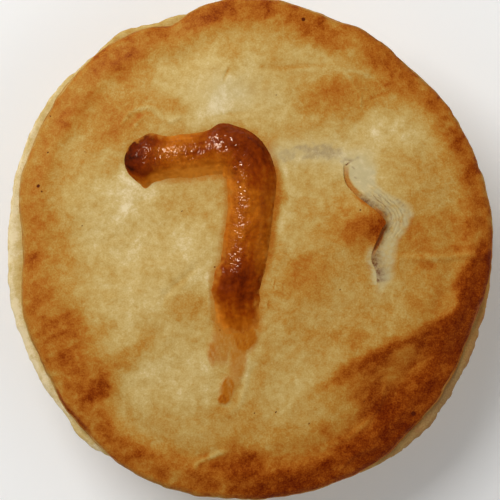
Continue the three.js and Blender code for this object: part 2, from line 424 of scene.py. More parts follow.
# The base: tapered wall, flat foot and flared rim, pressed into a tin by hand.
base = {
    "steps": 640,
    "footLoops": 10,
    "footRoundLoops": 7,
    "wallLoops": 44,
    "rimLoops": 10,
    "insideLoops": [0.975, 0.95, 0.9, 0.75, 0.5, 0.25, 0],  # shares of the wall's reach, under the lid
    "seed": 11,
    # pleats where the dough was folded to fit the tin, leaning and fading towards the foot
    "pleats": 12,
    "pleatLean": 0.006,  # radians for each millimetre up
    "pleatDepth": (0.35, 0.8),
    "pleatStart": (2, 14),
    "pleatFade": 8,
    "pleatWidth": 0.9,
    "pleatRidge": (0.7, 1.6, 1.4),  # the ridge beside it: share of the depth, offset, width
    "pleatBrowning": (0.25, 1.1),  # by, width
    # air bubbles that broke against the tin
    "pits": 90,
    "pitLowest": 1.5,
    "pitSize": (0.5, 1.3),
    "pitDepth": 0.4,  # share of its size
    # unevenness: strength, size, octaves, place in the noise
    "wallWaves": (0.45, 14, 2, 3.0),
    "wallGrain": (0.16, 3.2, 3, 7.0),
    "rimGrainShare": 0.6,
    "rimWaves": (0.5, 5.5, 3, 1.0),
    "rimWaveUpright": 0.3,  # draws the waves out upwards
    "rimGrain": (0.12, 1.3, 3, 15.0),
    "rimCrumbs": (0.35, 1.7, 3, 14.0),
    "rimTop": (0.25, 4, 3, 5.0),
    "footDents": (0.25, 6, 3, 9.0),
    "crumblyAndShaded": (-38, 24),  # where the rim is crumbly, greyed and darkened partly as painted shade: degrees, spread
    "palest": (190, 70),  # where the rim is palest
    "browning": 0.36,
    "browningClouds": (0.16, 16, 3, 12.0),
    "browningFoot": (0.3, 7),  # by, height
    "browningTop": (0.16, 3),  # by, spread
    # the rim is browner away from its palest, lit side: partly real browning, partly painted shade
    "rimBrowning": 0.5,
    "rimClouds": (0.06, 4, 3, 2.0),
    "wallFlour": (0.35, 9, 3, 20.0),
    # flour and stain on the crumbly rim: partly its grey crumbs, partly painted shade
    "rimFlourAndShade": 0.45,
    "rimStainAndShade": 0.46,
    "unevenness": 0.9,
    "relief": 0.7,
}


def baseProfile(wallReach, wallTop):
    # across and up, from the middle of the foot up the wall, over the rim and back in under the lid
    footRadius, footRound = pie["footRadius"], pie["footRound"]
    profile = [(across, 0.0) for across in np.linspace(0, footRadius - footRound, base["footLoops"])]
    lean = math.atan2(wallReach - footRadius, wallTop - footRound)
    for turn in np.linspace(0, math.pi / 2 - lean, base["footRoundLoops"])[1:]:
        profile.append((footRadius - footRound * (1 - math.sin(turn)), footRound * (1 - math.cos(turn))))
    lowAcross, low = profile[-1]
    for share in np.linspace(0, 1, base["wallLoops"])[1:]:
        profile.append((lowAcross + (wallReach - lowAcross) * share, low + (wallTop - low) * share))
    for turn in np.linspace(-math.pi / 3, math.pi / 2, base["rimLoops"]):
        across = pie["rimRadius"] - pie["rimRound"] * (1 - math.cos(turn))
        profile.append((across, pie["rimHeight"] - pie["rimDepth"] / 2 * (1 - math.sin(turn))))
    return profile + [(wallReach * share, pie["rimHeight"]) for share in base["insideLoops"]]


def spinBase(profile):
    bm = bmesh.new()
    verts = [bm.verts.new((across, 0, z)) for across, z in profile]
    edges = [bm.edges.new(pair) for pair in zip(verts, verts[1:])]
    bmesh.ops.spin(
        bm, geom=verts + edges, cent=(0, 0, 0), axis=(0, 0, 1), angle=2 * math.pi, steps=base["steps"],
        use_merge=True,
    )
    bmesh.ops.remove_doubles(bm, verts=bm.verts, dist=1e-4)
    bmesh.ops.recalc_face_normals(bm, faces=bm.faces)
    return meshFrom("pieBase", bm)


def pleatsAndPits(turn, across, z, wallTop):
    # how far they push the wall out, and how deep the grooves of the pleats are
    draw = np.random.default_rng(base["seed"])
    out = np.zeros_like(z)
    groove = np.zeros_like(z)
    ridgeShare, ridgeOffset, ridgeWidth = base["pleatRidge"]
    for _ in range(base["pleats"]):
        centre = draw.uniform(-math.pi, math.pi)
        lean = draw.uniform(-base["pleatLean"], base["pleatLean"])
        depth = draw.uniform(*base["pleatDepth"])
        start = draw.uniform(*base["pleatStart"])
        offset = ((turn - centre - lean * z + math.pi) % (2 * math.pi) - math.pi) * across
        depth = depth * smoothStep(z, start, start + base["pleatFade"])
        out -= depth * bell(offset, base["pleatWidth"])
        out += ridgeShare * depth * bell(offset - ridgeOffset, ridgeWidth)
        groove += depth * bell(offset, base["pleatBrowning"][1])
    for _ in range(base["pits"]):
        centre = draw.uniform(-math.pi, math.pi)
        level = draw.uniform(base["pitLowest"], wallTop)
        size = draw.uniform(*base["pitSize"])
        offset = ((turn - centre + math.pi) % (2 * math.pi) - math.pi) * across
        out -= base["pitDepth"] * size * bell(np.hypot(offset, z - level), size)
    return out, groove


def buildBase():
    wallTop = pie["rimHeight"] - pie["rimDepth"]
    wallReach = pie["rimRadius"] - pie["rimOverhang"]
    mesh = spinBase(baseProfile(wallReach, wallTop))
    x, y, z = readPoints(mesh).T
    turn = np.arctan2(y, x)
    degrees = np.degrees(turn)
    across = np.hypot(x, y)
    underLid = (z >= pie["rimHeight"] - 1e-3) & (across < wallReach - 0.1)
    onFoot = (z < 1e-3) & (across < pie["footRadius"] - pie["footRound"] - 0.5)
    onRim = smoothStep(z, wallTop, wallTop + 1) * ~underLid
    onWall = smoothStep(z, 0.5, 4) * (1 - onRim) * ~underLid
    crumblyAndShaded = facing(degrees, *base["crumblyAndShaded"]) * onRim

    lift = np.where(underLid, 1, (z / pie["rimHeight"]) ** 2)
    stretch = 1 + (reach(pie["rimRadius"], pie["rimBulges"], turn) / pie["rimRadius"] - 1) * lift
    out, groove = pleatsAndPits(turn, across, z, wallTop)
    out = (out + uneven(x, y, z, base["wallWaves"])) * onWall
    out += uneven(x, y, z, base["wallGrain"]) * (onWall + base["rimGrainShare"] * onRim)
    out += uneven(x, y, z * base["rimWaveUpright"], base["rimWaves"]) * onRim
    out += uneven(x, y, z, base["rimGrain"]) * onRim + uneven(x, y, z, base["rimCrumbs"]) * crumblyAndShaded
    x = x * stretch + out * np.cos(turn)
    y = y * stretch + out * np.sin(turn)
    height = np.where(underLid, moundHeight(x, y), z)
    height += uneven(x, y, z, base["rimTop"]) * onRim * smoothStep(z, wallTop + 1, pie["rimHeight"])
    height += onFoot * np.maximum(0, uneven(x, y, z, base["footDents"]))
    writePoints(mesh, x, y, height)

    footBy, footHeight = base["browningFoot"]
    topBy, topSpread = base["browningTop"]
    browning = base["browning"] + uneven(x, y, z, base["browningClouds"])
    browning += footBy * smoothStep(z, footHeight, 0) + topBy * bell(z - wallTop, topSpread) * (1 - onRim)
    browning += base["pleatBrowning"][0] * groove * onWall
    # the rim is browner away from its palest, lit side: partly real browning and partly painted shade
    rimTone = base["rimBrowning"] * (1 - facing(degrees, *base["palest"]))
    rimTone += uneven(x, y, z, base["rimClouds"])
    browning = np.where(onRim > 0.5, rimTone, browning)
    writeValues(mesh, "browning", np.clip(browning, 0, 1))
    dusty = np.maximum(0, uneven(x, y, z, base["wallFlour"])) * onWall
    # flour and stain grey and darken the crumbly rim, partly as painted shade
    writeValues(mesh, "flour", dusty + base["rimFlourAndShade"] * crumblyAndShaded)
    writeValues(mesh, "stain", base["rimStainAndShade"] * crumblyAndShaded)
    writeValues(mesh, "speck", np.zeros_like(x))
    return mesh


# The lid: a sheet of pastry whose top is a fine disc, with a torn steam vent, wrinkles and uneven browning.
lid = {
    "cells": 250,
    "edgeLoops": 14,
    "crustLoops": 4,  # loops of the edge that are like the top
    "underLoops": [0.93, 0.55],  # shares that the loops under it are drawn in to
    "underDrop": 0.3,
    "underGap": 0.05,
    "edgeRound": 1.5,
    # unevenness, here and below: strength, size, octaves, place in the noise
    "edgeWaver": (0.35, 3.2, 4, 4.0),
    "edgeWaverRing": 30,
    "edgeLayers": (0.22, 2.1),  # depth, and phase for each loop
    "edgeLayersWaver": (2, 1.0, 2, 6.0),
    "edgeLayersOver": (8, 0.4),  # how fast they waver round the edge and down it
    "edgeTone": (0.35, 0.25),  # browning of the layers, and how it swings
    "ragged": [(2.6, 9, 5, 11.0), (2.6, 9, 5, 17.0)],  # along x and along y
    "frayed": [(0.9, 1.7, 3, 23.0), (0.9, 1.7, 3, 27.0)],
    "roll": [(0.94, 0.04, 0.35), (0.855, 0.045, -0.3)],  # low roll inside the edge: share, spread, height
    "rollWaver": (0.6, 4, 2, 8.0),
    "rollRing": 9,
    "crumples": [(0.16, 7, 3, 2.0), (0.06, 2, 3, 5.0)],
    "browning": 0.39,
    "darkest": 0.94,
    "darkEase": 0.16,  # browning slows down that far below the darkest
    # browned rim and the crescent along the near side
    "rimBrowning": 0.17,
    "rimFrom": (0.84, 0.95),  # shares of the reach over which it sets in
    "rimTones": [(30, 45, 0.12), (88, 28, 0.12), (190, 55, -0.1)],  # degrees, spread, by
    "crescent": (-66, 30),  # degrees, spread
    "crescentFrom": (0.68, 0.98),
    "crescentBy": 0.2,
    # the slumped side and the line of the fold
    "slumpEdge": (-2.2, 1.4),  # across the fold
    "slumpFrom": (-16, 6),  # along it
    "slumpBy": 0.29,
    "foldLine": (0.8, 1.5),  # offset, width
    "foldStretch": [(-16, -4), (26, 14)],  # along it, where the line sets in and dies away
    "foldBy": 0.12,
    # skin of the browned places
    "skinFrom": (0.45, 0.7),  # browning over which it sets in
    "skinDrawnOut": 0.35,  # lower draws the streaks out along the fold
    "skinStreaks": (0.12, 2.2, 4, 81.0),
    "skinBlotches": (0.1, 4, 4, 83.0),
    "tearLip": [
        (22.2, 20.8), (22.4, 16.6), (24.6, 13.4), (31.7, 7.4), (30.8, 4.2),
        (28.6, -1.6), (29.7, -5), (30, -8.2),
    ],
    "tearFarSide": [
        (23.6, 21.4), (28.9, 17.3), (34.5, 12.1), (36.9, 8.8), (36.2, 5.6),
        (35.2, 1.2), (33.9, -3), (33.2, -7), (31.8, -9.6),
    ],
    "tearDepth": (0.36, 0.54),  # all along, and what the curl adds
    "tearSlope": 1.7,  # power of its floor's slope
    "tearWidest": 8,
    "tearFine": (1, 7),  # the disc is finer that near to the lip, and that far into the tear
    "tearShallow": (0.7, 0.8),  # shares along it where its lower end, only scratched open, begins
    "tearTuck": (0.7, -0.84, -0.54),  # the floor goes in under the lip: by, along x, along y
    "tuckWidth": 0.9,
    "lipHeight": (0.15, 0.6),  # all along, and at the curl
    "curlPlace": (0.5, 0.2),  # share along the lip, spread
    "lipFade": 1.8,
    # outer bound of the tear's bare layers
    "tearPale": [
        (25.5, 24), (29.4, 21), (29.5, 16.3), (32.3, 13), (35.7, 11.6), (38.1, 9.1),
        (37.6, 6.9), (36.2, 4.3), (34.6, 1.9), (33.9, -1.7), (33.6, -5.4), (33, -8.6),
    ],
    "bareWidest": 9,
    "bareEdge": (-1.1, 0.9),
    "bareStretch": [(0.0, 0.1), (1.0, 0.93)],  # shares along the lip where they set in and die away
    "bareBy": -0.18,
    # browned crust along the upper part of the lip
    "crustEdge": (1.6, 0.9),
    "crustStretch": [(0.0, 0.05), (0.36, 0.24)],
    "crustBy": 0.45,
    "bareFlour": (0.55, 1.1, 3, 45.0),
    "layerStep": 0.8,  # between the layers' edges
    "layerWaver": (0.3, 2.5, 2, 37.0),
    "layerDepth": 0.08,
    "layerStain": 0.26,
    "layerPlace": (0.45, 0.14),  # share along the lip, spread
    # fine cracks in those layers: strength, points
    "tearCracks": [
        (0.55, [(29.2, 12.8), (30.2, 11.7), (31.4, 10.8), (32.7, 9.4), (33.3, 8.3), (33.4, 7.3)]),
        (0.5, [(30.4, 12.9), (30.9, 12.4)]), (0.4, [(31.9, 11.9), (32.6, 11.2), (33.2, 10.6)]),
        (0.45, [(34.5, 12), (35.5, 11.3), (36.3, 10.4)]), (0.4, [(28.4, 11.4), (29, 10.9), (29.6, 10.2)]),
        (1.0, [(22.75, 20.1), (23.8, 21)]), (0.4, [(24.2, 19.6), (24.6, 19.2)]),
        (0.35, [(24.7, 17.2), (25.1, 16.9)]),
    ],
    "crackWidth": 0.17,
    "crackDepth": 0.15,
    "crackGaps": (0.9, 0.8, 2, 33.0),
    # gravy that dried along the lip of the tear: places along it and spread
    "gravy": [
        (0.33, 0.05), (0.42, 0.05), (0.49, 0.03), (0.58, 0.05), (0.68, 0.05),
        (0.77, 0.05), (0.85, 0.04), (0.92, 0.03), (0.97, 0.015),
    ],
    "gravyBlotches": (0.6, 0.8, 2, 31.0),
    "gravyWidth": (1.4, 0.7),  # all along, and what the scratched end adds
    "gravyBy": 0.8,
    # pale fringe beside the scratched end
    "fringe": (0.5, 0.7, 0.7),  # distance from the lip, spread, flour
    "fringePaler": (0.1, 1.2),  # by, fade
    "fringeGaps": (0.9, 0.8, 2, 47.0),
    # browning under the lip, partly its browned underside and partly painted shade: where along it, where it
    # is wider and where it has a break
    "underLipShadeStretch": [(0.38, 0.44), (0.86, 0.7)],
    "underLipShadeWider": (0.66, 0.06),
    "underLipShadeBreak": (0.53, 0.035),
    "underLipShadeBy": 0.45,
    "lipBlush": (28.6, 5.3, 7.2, 4.3, 12),  # browned tip of the lip: x, y, half width, half height, turn
    "lipTip": (30.4, 5, 2.6),  # its very point: x, y, spread
    "lipLine": [(0.2, 0.28), (0.5, 0.3)],  # shares along it where its browned line sets in and dies away
    "lipBrowning": (0.3, 0.1, 0.22),  # of the tip, its point and the line
    # wrinkles: height, width, browning (paler on ridges and darker in grooves, painted highlight and painted
    # shade), points
    "wrinkles": [
        (0.4, 0.5, -0.2, [
            (-30.4, 29.9), (-28.7, 32.3), (-26.4, 33.4), (-23.8, 33.7), (-21.7, 32.5), (-20.7, 31.1),
        ]),
        (0.3, 0.4, -0.18, [(-27.8, 28.4), (-26.6, 30.2), (-25.2, 31.3), (-23.6, 31.6)]),
        (0.25, 0.5, -0.14, [(-20, 30.6), (-18, 30.7), (-16.3, 31.9)]),
        (-0.25, 0.3, 0.2, [(-4.7, 43.4), (-5.7, 41.5), (-6.4, 39.6)]),
        (-0.15, 0.4, 0.1, [(-7.1, 31.6), (-4, 32.3), (-0.2, 32.5)]),
        (-0.15, 0.7, 0.1, [(0, 43.1), (9.4, 43.4), (18.9, 44.3)]),
        (0.2, 0.35, -0.1, [(19.2, 44.8), (22.4, 42), (26.4, 36.5)]),
        (0.18, 0.3, -0.09, [(8.3, 42.2), (12, 42.8), (16, 43)]),
        (0.2, 0.35, -0.1, [(21.2, 42.9), (25.6, 42.3), (30, 40.2), (33, 37)]),
        (-0.2, 0.35, 0.12, [(28.8, 36), (31.2, 37.1), (33.6, 37.6)]),
        (0.2, 0.3, -0.1, [(26.2, 36.4), (26.2, 33.9)]),
        (0.35, 0.8, -0.08, [(34.4, -1.9), (45.3, -1.9), (52.4, -1), (54.9, -1.7), (57.7, 1.4)]),
        (0.35, 0.6, -0.2, [(-13.4, -52.5), (-12.4, -50.6), (-8.8, -48.9), (-4.8, -47.3)]),
        (-0.5, 0.5, 0.4, [(-46, -33.6), (-44.8, -36.3), (-42.3, -39.2), (-40.1, -41.7), (-38.2, -43.5)]),
        (0.2, 0.65, -0.13, [(-0.5, -23.6), (-0.7, -28), (-1.4, -33), (-2.8, -37), (-5, -38.5)]),
        (-0.15, 0.2, 0.2, [(5.9, -7.1), (5.4, -9.2)]),
        (0.2, 0.3, -0.12, [(-10.2, -4.4), (-9.9, -9), (-9.7, -13.6)]),
        (-0.25, 0.8, 0.07, [(-11.6, -2.6), (-14.4, -5.6), (-17, -7.8), (-19.6, -10.4), (-20.6, -13)]),
        (-0.15, 0.2, 0.18, [(4.4, -12.1), (4.4, -13.6)]),
        (0.2, 0.5, -0.08, [(17, -47), (24, -44), (30, -38), (33, -30)]),
        (0.2, 0.4, -0.08, [(20, -54), (25, -48.5), (33, -46), (38, -42)]),
    ],
    # browned and pale patches: x, y, half width, half height, turn in degrees, by
    "patches": [
        (-25, 1, 16, 20, 0, -0.13), (-12, 0, 7, 10, 0, -0.09), (-18, 9.5, 6, 4.5, 0, 0.13),
        (-36, 8, 8, 9, 0, -0.07), (-27, -12, 5, 6, 0, -0.08), (-39, 41, 6, 6, 45, -0.12),
        (-7, 38, 15, 8, 0, -0.18), (-5.2, 35.5, 4, 5, -12, -0.13), (-28.6, 14.2, 5.2, 4.4, 0, -0.2),
        (34, 29.5, 8, 5, 15, -0.1), (-20, -29, 13, 11, -25, -0.16), (-10, -41, 22, 7, 0, 0.04),
        (3, -44.5, 16, 3.5, 0, 0.06), (0, -32.5, 6, 3, 0, 0.05), (27.2, 23.7, 10, 9.5, 0, -0.17),
        (16, 15, 8, 10, 0, -0.08), (20.5, 12, 4.5, 11, 0, 0.1), (20.5, 27, 8, 2.6, 0, 0.07),
        (35.5, 20.7, 5, 3.5, 0, 0.08), (49, 6, 4, 10, 0, 0.08), (33, 38, 4.5, 4.5, 0, 0.12),
        (26, 50, 4, 3, 0, -0.08), (-17, 50, 5, 3, 0, -0.06), (-6, 56, 6, 3, 0, 0.08),
        (32.3, -9, 3.4, 3, 0, -0.2), (43, -11.8, 5, 4, 0, 0.09), (20, -20.5, 8, 3.5, 0, 0.11),
        (27, -20.8, 3.5, 3, 20, 0.08), (8.8, -5.8, 3, 5, 0, 0.07), (-24, 32.5, 4, 3, 0, 0.05),
        (8.4, 12, 1.5, 13, 3, -0.16), (11, -36, 10, 7, 10, -0.08), (38, -40.5, 5, 4, 30, -0.1),
        (42.5, -30, 5, 3, 40, -0.08), (-48, -4, 9, 15, 0, 0.14), (-51, -6, 3, 6, 0, 0.12),
        (-50, 17, 7, 11, -15, 0.08), (-42, -24, 8, 13, 25, 0.27), (-36, -32, 5, 3, 35, 0.2),
        (-36, -40, 10, 8, -40, 0.12), (-24, -50, 14, 6, -18, 0.12), (-35.5, 39, 14, 11, 45, 0.17),
        (-30, 42, 5, 2.5, -20, 0.1), (-38, -11.5, 5, 6, 0, -0.07), (-31, 28, 8, 4, 20, 0.1),
        (-25.4, 31.8, 2.6, 1.3, 30, 0.12), (-17.5, 34, 4, 2.5, -20, 0.12), (21.3, 36, 9, 5, 5, 0.2),
        (13.5, -6.6, 6, 6.5, 0, 0.13), (38, -3, 19, 15, 0, 0.12), (-15.1, -14.2, 6.5, 3.8, 0, 0.17),
        (-27, -24.4, 8, 3.6, 35, 0.2), (-4, -51, 9, 3.4, 12, 0.26), (6, -55, 13, 6, 0, 0.2),
        (18, -50, 16, 8, 20, 0.02), (42, -4.6, 2.6, 1.6, 0, 0.16), (39, 4, 5, 8, -10, 0.08),
        (55, -8, 4, 10, -18, 0.36), (37, -25, 4, 2.2, 55, -0.14), (47, -22, 7, 5, 30, 0.2),
        (33, -37.5, 7, 5, 35, 0.22), (28, -49, 6, 4, 30, 0.16), (33, -26, 7, 4, 30, 0.06),
        (17, -44, 8, 5, 20, 0.1), (-20, -50, 9, 3, -15, 0.08), (-3, -56, 6, 2.5, 0, 0.07),
        (47, -33, 6, 12, -40, -0.08), (25, -41, 6, 4, 30, -0.08),
    ],
    # browned halo along the mark's outer side
    "haloWidth": (0.9, 0.7),  # and its fade
    "haloStretch": [(0.37, 0.44), (0.8, 0.66)],  # shares along the mark where it sets in and dies away
    "haloBrowning": (0.18, 0.08),  # of the halo, and close to the mark all round
    "haloStain": 0.08,
    # thin glaze that ran out below the mark: x, y, half width, half height, turn, strength
    "smears": [
        (-7.3, -24, 2.6, 3.4, 0, 0.72), (-8.7, -24.4, 1.2, 3, 0, 0.95), (-2.9, -26, 2.1, 4.6, -4, 0.75),
        (-3.4, -29.6, 1.6, 3, -12, 0.6), (-5.4, -32.7, 1.7, 3.2, -14, 1.1),
        (-6.2, -35.2, 1.3, 1.1, -20, 1.75), (-1.2, -20.7, 2.9, 3.5, -8, 1.4),
        (-5.4, -20.6, 3.8, 2.4, 0, 0.75),
    ],
    "smearStreaks": (0.55, 1.0, 3, 41.0),
    "smearHeight": 0.25,
    "smearColour": shade(171, 99, 19),
    "smearEnd": shade(136, 58, 8),  # where it ran thickest
    "soakWaver": (0.5, 1.5, 3, 43.0),
    "soaked": (0.35, 0.5),  # on the mark's outer and on its inner side
    "soakFrom": [(0.08, 0.14), (0.36, 0.46)],  # shares along it where that sets in, on both and on the outer
    # flour: x, y, half width, half height, turn, strength
    "flour": [(26.2, 20, 3.6, 4.6, 0, 0.5), (31.6, -7.6, 1.6, 2.4, 0, 0.6), (-5, 37.5, 8, 4.5, 0, 0.35)],
    # pale trail from the mark's corner to the tear, and the dull smudges in it, as ovals like the flour's
    "trail": [(6.6, 22.7), (11.8, 23.2), (16.5, 23), (21.2, 22.5), (24.7, 21.3)],
    "trailFlour": (0.45, 2.4),  # by, spread
    "trailPaler": (0.1, 3.5),
    "smudges": [
        (11.7, 24.2, 1.5, 0.7, 0, 1.0), (17.2, 23.2, 4.6, 1.7, -4, 1.0), (14, 22, 2.2, 0.7, 0, 0.9),
        (8.8, 22.2, 2, 1.5, 20, 0.6), (22.9, 21.5, 1.7, 0.5, 10, 0.9), (25.2, 21.7, 0.9, 0.45, 0, 0.7),
    ],
    "smudgeGaps": (0.8, 0.9, 3, 35.0),
    "smudgeFlour": 0.35,
    "smudgeStain": 0.32,
    # burnt specks: x, y, radius
    "specks": [
        (-50.3, 15.2, 0.45), (-49.4, 13.9, 0.3), (-54.4, 5.2, 0.35), (-48, 23.2, 0.25), (-39, 23.2, 0.28),
        (-39.8, 5.7, 0.22), (39, -39, 0.6), (27, -35.8, 0.3), (13.9, 13.9, 0.22), (25.9, 9.4, 0.22),
        (21.3, -9.4, 0.24), (-8.3, -4, 0.22), (-16, 9.2, 0.2), (12.7, 54.9, 0.5), (6.1, -38.3, 0.25),
        (14, -41, 0.25), (1, -38.6, 0.2), (-39.9, 43.7, 0.2), (-47.6, 31.9, 0.25),
        (5, 49, 0.2), (6.3, 36.6, 0.2),
    ],
    "unevenness": 1.0,
    "relief": 0.45,
}


def roundRings(bm):
    # square rings of a grid become round ones, evenly spaced
    for vert in bm.verts:
        a, b = vert.co.x, vert.co.y
        ring = max(abs(a), abs(b))
        if ring > 0:
            turn = math.pi / 4 * b / a if abs(a) >= abs(b) else math.pi / 2 - math.pi / 4 * a / b
            if (a if abs(a) >= abs(b) else b) < 0:
                turn += math.pi
            vert.co.xy = (ring * math.cos(turn), ring * math.sin(turn))


def lidDisc():
    # a disc of radius 1, finer at the tear, with loops for its edge and underside that z counts
    bm = bmesh.new()
    bmesh.ops.create_grid(bm, x_segments=lid["cells"], y_segments=lid["cells"], size=1)
    roundRings(bm)
    print("lid disc", len(bm.verts), "points")
    middles = np.array([(edge.verts[0].co + edge.verts[1].co)[:2] for edge in bm.edges]) / 2
    x, y = middles.T * (pie["lidRadius"] - lid["edgeRound"])
    toLip, _, sideLip = alongPath(x, y, smoothPath(lid["tearLip"]))
    toFar, _, sideFar = alongPath(x, y, smoothPath(lid["tearFarSide"]))
    atLip, into = lid["tearFine"]
    torn = (toLip < atLip) | ((sideLip > 0) & (sideFar < 0) & (toLip < into) & (toFar < into))
    near = [edge for edge, yes in zip(bm.edges, torn) if yes]
    bmesh.ops.subdivide_edges(bm, edges=near, cuts=2, use_grid_fill=True)
    rimEdges = [edge for edge in bm.edges if edge.is_boundary]
    shrinks = [1] * lid["edgeLoops"] + lid["underLoops"]
    for level, shrink in enumerate(shrinks, 1):
        made = bmesh.ops.extrude_edge_only(bm, edges=rimEdges)["geom"]
        rimVerts = {item for item in made if isinstance(item, bmesh.types.BMVert)}
        rimEdges = [edge for edge in bm.edges if edge.is_boundary and rimVerts.issuperset(edge.verts)]
        for vert in rimVerts:
            vert.co.xy *= shrink
            vert.co.z = level
    bmesh.ops.pointmerge(bm, verts=list(rimVerts), merge_co=(0, 0, len(shrinks) + 1))
    bmesh.ops.recalc_face_normals(bm, faces=bm.faces)
    return meshFrom("pieLid", bm)


def roundRim(turn, ring, layer):
    # unevenness that goes round the rim
    return uneven(np.cos(turn) * ring, np.sin(turn) * ring, 0 * turn, layer)


def wander(x, y, layers):
    return [at + uneven(x, y, 0 * x, layer) for at, layer in zip((x, y), layers)]


def layLid(mesh):
    # the sheet before it is worked on: its plan, layered edge, top, underside and colours
    u, v, level = readPoints(mesh).T
    level = np.round(level)
    turn = np.arctan2(v, u)
    share = np.minimum(1, np.hypot(u, v))
    full = reach(pie["lidRadius"], pie["lidBulges"], turn)
    full = full + roundRim(turn, lid["edgeWaverRing"], lid["edgeWaver"])
    onEdge = (level > 0.5) & (level <= lid["edgeLoops"])
    edgeTurn = math.pi / 2 - math.pi * np.clip(level / lid["edgeLoops"], 0, 1)
    depth, phase = lid["edgeLayers"]
    ring, down = lid["edgeLayersOver"]
    waver = uneven(u * ring, v * ring, level * down, lid["edgeLayersWaver"])
    layers = depth * np.sin(level * phase + waver)
    radial = share * (full - lid["edgeRound"]) + onEdge * (lid["edgeRound"] + layers) * np.cos(edgeTurn)
    x = radial * np.cos(turn)
    y = radial * np.sin(turn)
    sheet = SimpleNamespace(x=x, y=y, flat=0 * x, level=level, turn=turn, share=share, full=full)
    sheet.onTop = level < 0.5
    sheet.onEdge = onEdge
    sheet.edgeTurn = edgeTurn
    sheet.top = lidTop(x, y)
    sheet.bottom = moundHeight(x, y) + lid["underGap"] - lid["underDrop"] * (level > lid["edgeLoops"])
    # ragged and frayed copies of the plan, for patches without clean edges
    sheet.raggedX, sheet.raggedY = wander(x, y, lid["ragged"])
    sheet.frayedX, sheet.frayedY = wander(x, y, lid["frayed"])
    sheet.browning = np.full_like(x, lid["browning"])
    sheet.flour, sheet.stain, sheet.speck = np.zeros((3, len(x)))
    return sheet


def wrinkleLid(sheet):
    x, y = sheet.x, sheet.y
    roll = sum(height * bell(sheet.share - where, spread) for where, spread, height in lid["roll"])
    sheet.top += roll * (1 + roundRim(sheet.turn, lid["rollRing"], lid["rollWaver"]))  # deeper in places
    for height, width, paintedLight, points in lid["wrinkles"]:
        distance, along, _ = alongPath(x, y, smoothPath(points))
        line = bell(distance, width) * np.sin(math.pi * np.clip(along, 0.02, 0.98)) ** 0.4
        sheet.top += height * line
        # paler along ridges and darker along grooves: painted highlight and painted shade
        sheet.browning += paintedLight * line
    for layer in lid["crumples"]:
        sheet.top += uneven(x, y, sheet.flat, layer)


def brownLid(sheet):
    x, y, raggedX, raggedY = sheet.x, sheet.y, sheet.raggedX, sheet.raggedY
    for *oval, by in lid["patches"]:
        sheet.browning += by * ellipse(raggedX, raggedY, *oval)
    degrees = np.degrees(sheet.turn)
    outwards = np.hypot(raggedX, raggedY) / sheet.full
    tones = sum(by * facing(degrees, centre, spread) for centre, spread, by in lid["rimTones"])
    sheet.browning += (lid["rimBrowning"] + tones) * smoothStep(outwards, *lid["rimFrom"])
    crescent = facing(degrees, *lid["crescent"]) * smoothStep(outwards, *lid["crescentFrom"])
    sheet.browning += lid["crescentBy"] * crescent
    # the slumped side is dark, most of all along the fold
    along, beyond = foldPlace(partWay(x, raggedX, 0.5), partWay(y, raggedY, 0.5))
    slumped = smoothStep(beyond, *lid["slumpEdge"]) * smoothStep(along, *lid["slumpFrom"])
    offset, width = lid["foldLine"]
    folded = bell(beyond - offset, width) * within(along, *lid["foldStretch"])
    sheet.browning += lid["slumpBy"] * slumped + lid["foldBy"] * folded
    # browned skin is streaked along the fold and blotched elsewhere
    streaks = uneven(along * lid["skinDrawnOut"], beyond, sheet.flat, lid["skinStreaks"])
    streaks += uneven(x, y, sheet.flat, lid["skinBlotches"]) * (1 - 0.6 * slumped)
    sheet.browning += streaks * smoothStep(sheet.browning, *lid["skinFrom"])


def tearLid(sheet):
    # a curled lip over a sloping floor
    toLip, along, sideLip = alongPath(sheet.x, sheet.y, smoothPath(lid["tearLip"]))
    toFar, _, sideFar = alongPath(sheet.x, sheet.y, smoothPath(lid["tearFarSide"]))
    widest = lid["tearWidest"]
    inside = sideLip > 0
    onLip = sideLip < 0
    floor = sheet.onTop & inside & (sideFar < 0) & (toLip < widest) & (toFar < widest)
    floor = floor & (along > 0.001) & (along < 0.999)
    ends = np.sin(math.pi * np.clip(along, 0, 1)) ** 0.5
    curlAt, curlSpread = lid["curlPlace"]
    curled = bell(along - curlAt, curlSpread)
    shallow = smoothStep(along, *lid["tearShallow"])
    slope = toLip / (toLip + toFar + 1e-6)
    depthAll, depthCurl = lid["tearDepth"]
    depth = (depthAll + depthCurl * curled) * ends * (1 - 0.95 * shallow)
    lipAll, lipCurl = lid["lipHeight"]
    raised = (lipAll * ends * (1 - shallow) + lipCurl * curled) * np.exp(-toLip / lid["lipFade"])
    sheet.top += raised * onLip * sheet.onTop - floor * depth * (1 - slope) ** lid["tearSlope"]
    tuck = lid["tearTuck"][0] * np.clip(1 - toLip / lid["tuckWidth"], 0, 1)
    sheet.tuck = floor * ends * tuck * (1 - 0.9 * shallow)
    return SimpleNamespace(
        toLip=toLip, along=along, inside=inside, onLip=onLip, floor=floor, shallow=shallow,
    )


